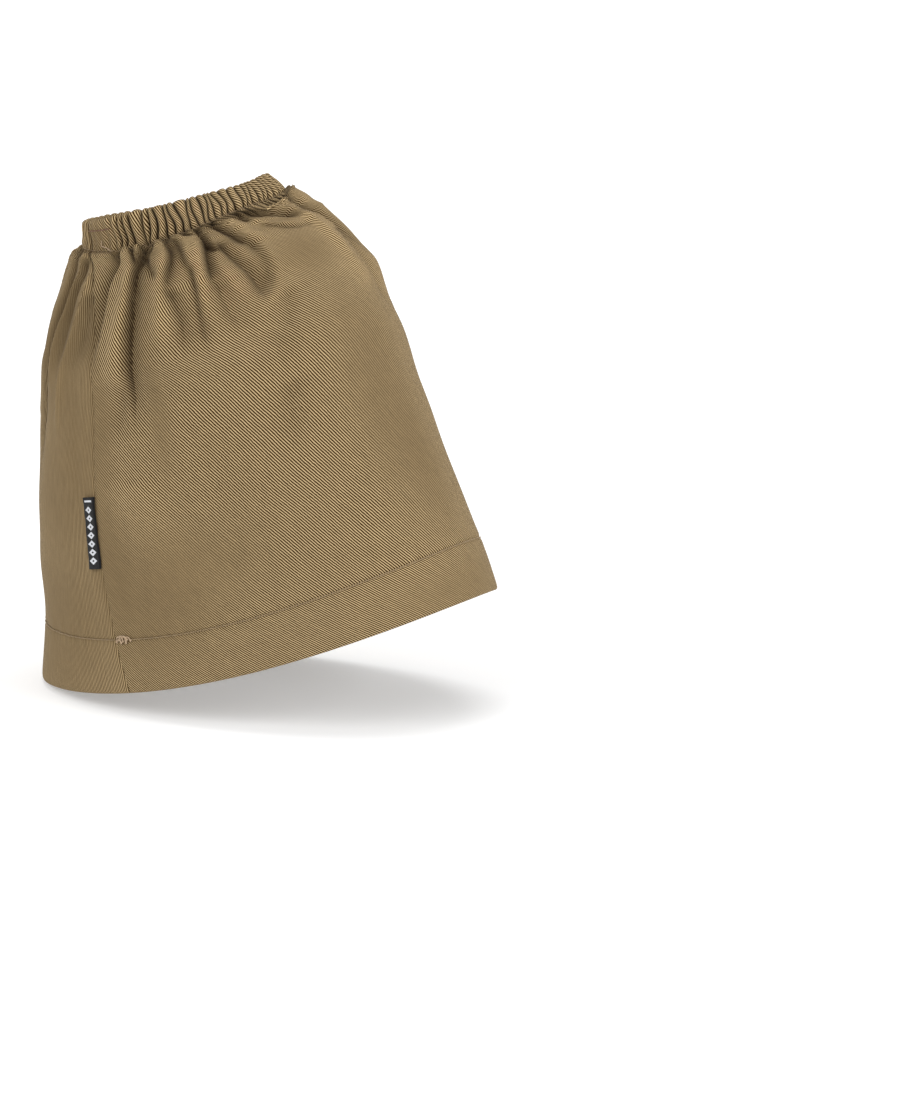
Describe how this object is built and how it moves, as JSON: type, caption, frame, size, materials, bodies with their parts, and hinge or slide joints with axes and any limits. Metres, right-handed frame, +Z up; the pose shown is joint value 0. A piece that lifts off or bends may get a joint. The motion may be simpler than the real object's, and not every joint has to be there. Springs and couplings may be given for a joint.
{
  "type": "boot cover",
  "caption": "Khaki cotton drill boot cover: a flared tube gathered on an elastic ring at the ankle, with a stitched hem and a plain black seam label.",
  "frame": {"origin": "centre of the gathered elastic ring, where the ankle holds the cover up", "axes": "+Z up the leg; -Y towards the toe; -X the side with the seam and the label"},
  "size_m": [0.1106, 0.1738, 0.1795],
  "materials": {
    "drill_panel": "matt khaki cotton twill",
    "drill_casing": "matt khaki cotton twill, gathered on elastic",
    "drill_hem": "matt khaki cotton twill, doubled and stitched",
    "label_tape": "black woven tape with a slight sheen"
  },
  "bodies": {
    "root": {"body_panel": "drill_panel", "elastic_casing": "drill_casing", "hem_band": "drill_hem", "woven_label": "label_tape"}
  },
  "joints": []
}
